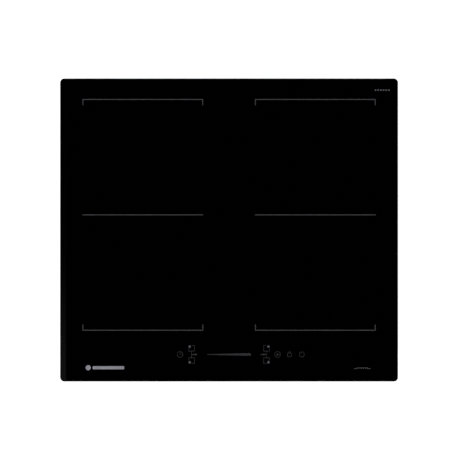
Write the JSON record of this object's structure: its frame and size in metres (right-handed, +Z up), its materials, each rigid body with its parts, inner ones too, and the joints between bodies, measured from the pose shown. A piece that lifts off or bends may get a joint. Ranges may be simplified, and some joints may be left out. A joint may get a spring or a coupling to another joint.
{
  "type": "induction hob",
  "caption": "Flush black glass induction hob with bevelled sides, cooking fields, a touch control row, coils, fans and a vented casing under the glass.",
  "frame": {"origin": "centre of the worktop opening, on the worktop's surface, which is the underside of the foam seal", "axes": "+X right, +Y towards the back (the controls are at the front, -Y), +Z up out of the worktop"},
  "size_m": [0.58, 0.52, 0.06],
  "materials": {
    "black_glass": "polished black glass ceramic, opaque",
    "grey_print": "fired grey ink",
    "light_print": "fired light grey ink",
    "foam_seal": "closed-cell foam",
    "silicone": "cured silicone",
    "galvanised_steel": "galvanised sheet, satin",
    "zinc_screw": "zinc plated",
    "spring_steel": "bright spring wire",
    "black_plastic": "flame-retardant moulding",
    "white_plastic": "heat-resistant moulding",
    "circuit_board": "solder-masked laminate",
    "board_component": "mixed component bodies",
    "mica": "mica laminate",
    "copper_litz": "stranded enamelled copper",
    "ferrite": "sintered ferrite",
    "aluminium_sheet": "mill finish",
    "lead_sleeve": "silicone sleeve",
    "cable_grey": "soft vinyl",
    "grommet_rubber": "moulded rubber"
  },
  "bodies": {
    "hob": {"glass_top": "black_glass", "zone_markings": "grey_print", "control_markings": "grey_print", "badge_markings": "light_print", "worktop_gasket": "foam_seal", "glass_bond": "silicone", "glass_frame": "galvanised_steel", "casing_rim": "galvanised_steel", "base_tray": "galvanised_steel", "casing_screws": "zinc_screw", "electronics_tray": "black_plastic", "inner_screws": "zinc_screw", "filter_board": "circuit_board", "filter_parts": "board_component", "power_transistors": "black_plastic", "control_housing": "black_plastic", "control_board": "circuit_board", "touch_springs": "spring_steel", "mica_sheets": "mica", "coil_springs": "spring_steel", "temperature_sensors": "silicone", "coil_leads": "lead_sleeve", "signal_cables": "cable_grey", "mains_leads": "lead_sleeve", "terminal_box": "black_plastic", "gland_plate": "black_plastic", "terminal_block": "white_plastic", "terminal_screws": "zinc_screw", "inlet_grommet": "grommet_rubber", "cable_clamp_bar": "black_plastic", "clamp_screws": "zinc_screw", "coil_plate_left": "aluminium_sheet", "power_board_left": "circuit_board", "heat_sink_left": "aluminium_sheet", "board_parts_left": "board_component", "ferrite_bars_left": "ferrite", "fan_housing_left": "black_plastic", "fan_cover_left": "black_plastic", "coil_plate_right": "aluminium_sheet", "power_board_right": "circuit_board", "heat_sink_right": "aluminium_sheet", "board_parts_right": "board_component", "ferrite_bars_right": "ferrite", "fan_housing_right": "black_plastic", "fan_cover_right": "black_plastic", "coil_winding_front_left": "copper_litz", "coil_carrier_front_left": "white_plastic", "coil_winding_rear_left": "copper_litz", "coil_carrier_rear_left": "white_plastic", "coil_winding_front_right": "copper_litz", "coil_carrier_front_right": "white_plastic", "coil_winding_rear_right": "copper_litz", "coil_carrier_rear_right": "white_plastic"},
    "fan_wheel_left": {"fan_wheel_left": "black_plastic"},
    "fan_wheel_right": {"fan_wheel_right": "black_plastic"},
    "worktop_clamp_front_left": {"worktop_clamp_front_left": "galvanised_steel"},
    "worktop_clamp_rear_left": {"worktop_clamp_rear_left": "galvanised_steel"},
    "worktop_clamp_front_right": {"worktop_clamp_front_right": "galvanised_steel"},
    "worktop_clamp_rear_right": {"worktop_clamp_rear_right": "galvanised_steel"},
    "terminal_cover": {"terminal_cover": "black_plastic"}
  },
  "joints": [
    {"name": "fan_spin_left", "type": "hinge", "parent": "hob", "child": "fan_wheel_left", "pos_m": [-0.091, -0.156, -0.035], "axis": [0, 0, 1], "continuous": true},
    {"name": "fan_spin_right", "type": "hinge", "parent": "hob", "child": "fan_wheel_right", "pos_m": [0.121, -0.156, -0.035], "axis": [0, 0, 1], "continuous": true},
    {"name": "clamp_swing_front_left", "type": "hinge", "parent": "hob", "child": "worktop_clamp_front_left", "pos_m": [-0.246, -0.15, -0.0315], "axis": [0, 0, 1], "range_deg": [0, 90]},
    {"name": "clamp_swing_rear_left", "type": "hinge", "parent": "hob", "child": "worktop_clamp_rear_left", "pos_m": [-0.246, 0.15, -0.0315], "axis": [0, 0, 1], "range_deg": [-90, 0]},
    {"name": "clamp_swing_front_right", "type": "hinge", "parent": "hob", "child": "worktop_clamp_front_right", "pos_m": [0.246, -0.15, -0.0315], "axis": [0, 0, 1], "range_deg": [-90, 0]},
    {"name": "clamp_swing_rear_right", "type": "hinge", "parent": "hob", "child": "worktop_clamp_rear_right", "pos_m": [0.246, 0.15, -0.0315], "axis": [0, 0, 1], "range_deg": [0, 90]},
    {"name": "terminal_cover_hinge", "type": "hinge", "parent": "hob", "child": "terminal_cover", "pos_m": [0.16, 0.2396, -0.0506], "axis": [1, 0, 0], "range_deg": [-90, 0]}
  ]
}
